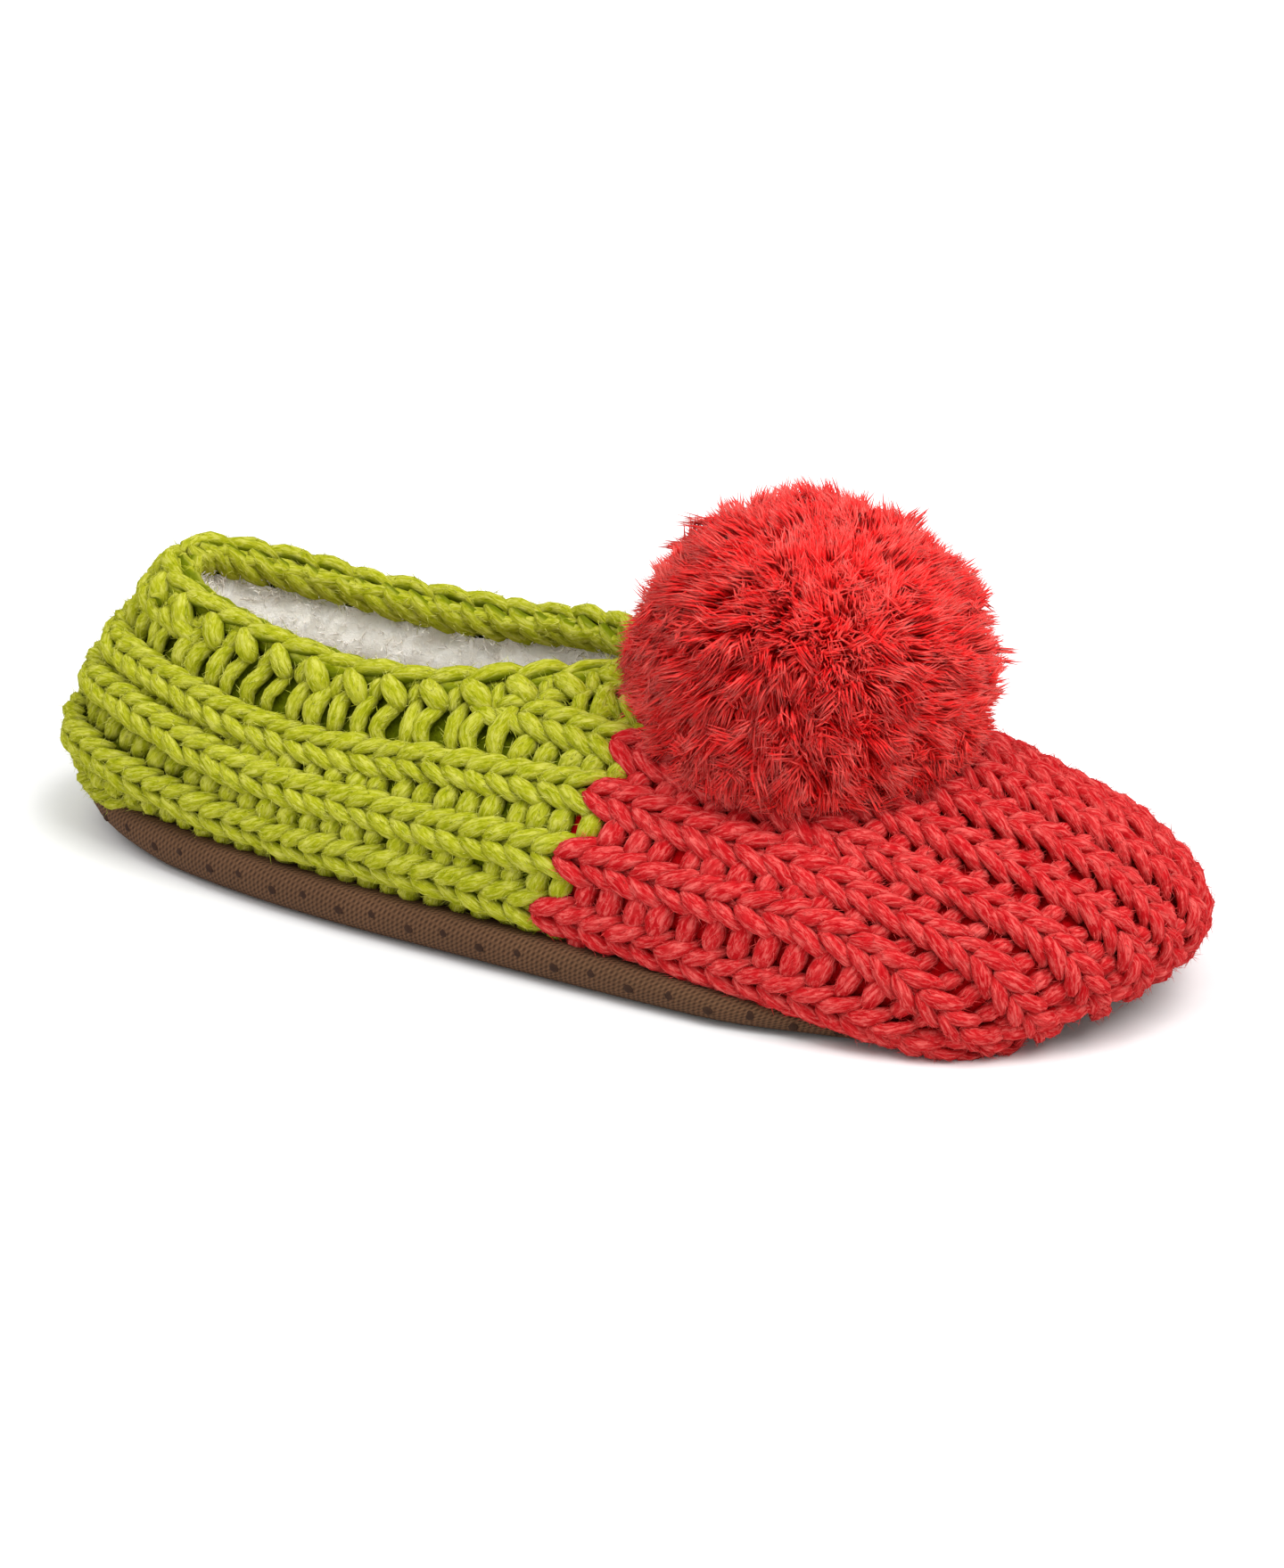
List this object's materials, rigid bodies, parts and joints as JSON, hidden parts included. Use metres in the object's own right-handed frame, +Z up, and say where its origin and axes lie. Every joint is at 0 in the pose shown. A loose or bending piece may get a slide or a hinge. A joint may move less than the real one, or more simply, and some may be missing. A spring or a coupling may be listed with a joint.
{
  "type": "ballerina slipper",
  "caption": "Soft knitted slip-on house slipper with a low open collar, a crocheted edge, a cut-yarn pompom on the vamp, a fleece lining and a flexible fabric sole.",
  "frame": {"origin": "middle of the slipper's length and width, on the floor under the sole", "axes": "+X from heel to toe, +Z up, +Y to the side that the picture's camera doesn't see"},
  "size_m": [0.2444, 0.0926, 0.0925],
  "materials": {
    "sole_fabric": "matte",
    "fleece": "matte",
    "knit": "matte",
    "edging_yarn": "matte",
    "pompom_yarn": "matte"
  },
  "bodies": {
    "root": {"outsole": "sole_fabric", "insole": "fleece", "upper": "knit", "collar_edging": "edging_yarn", "pompom": "pompom_yarn"}
  },
  "joints": []
}
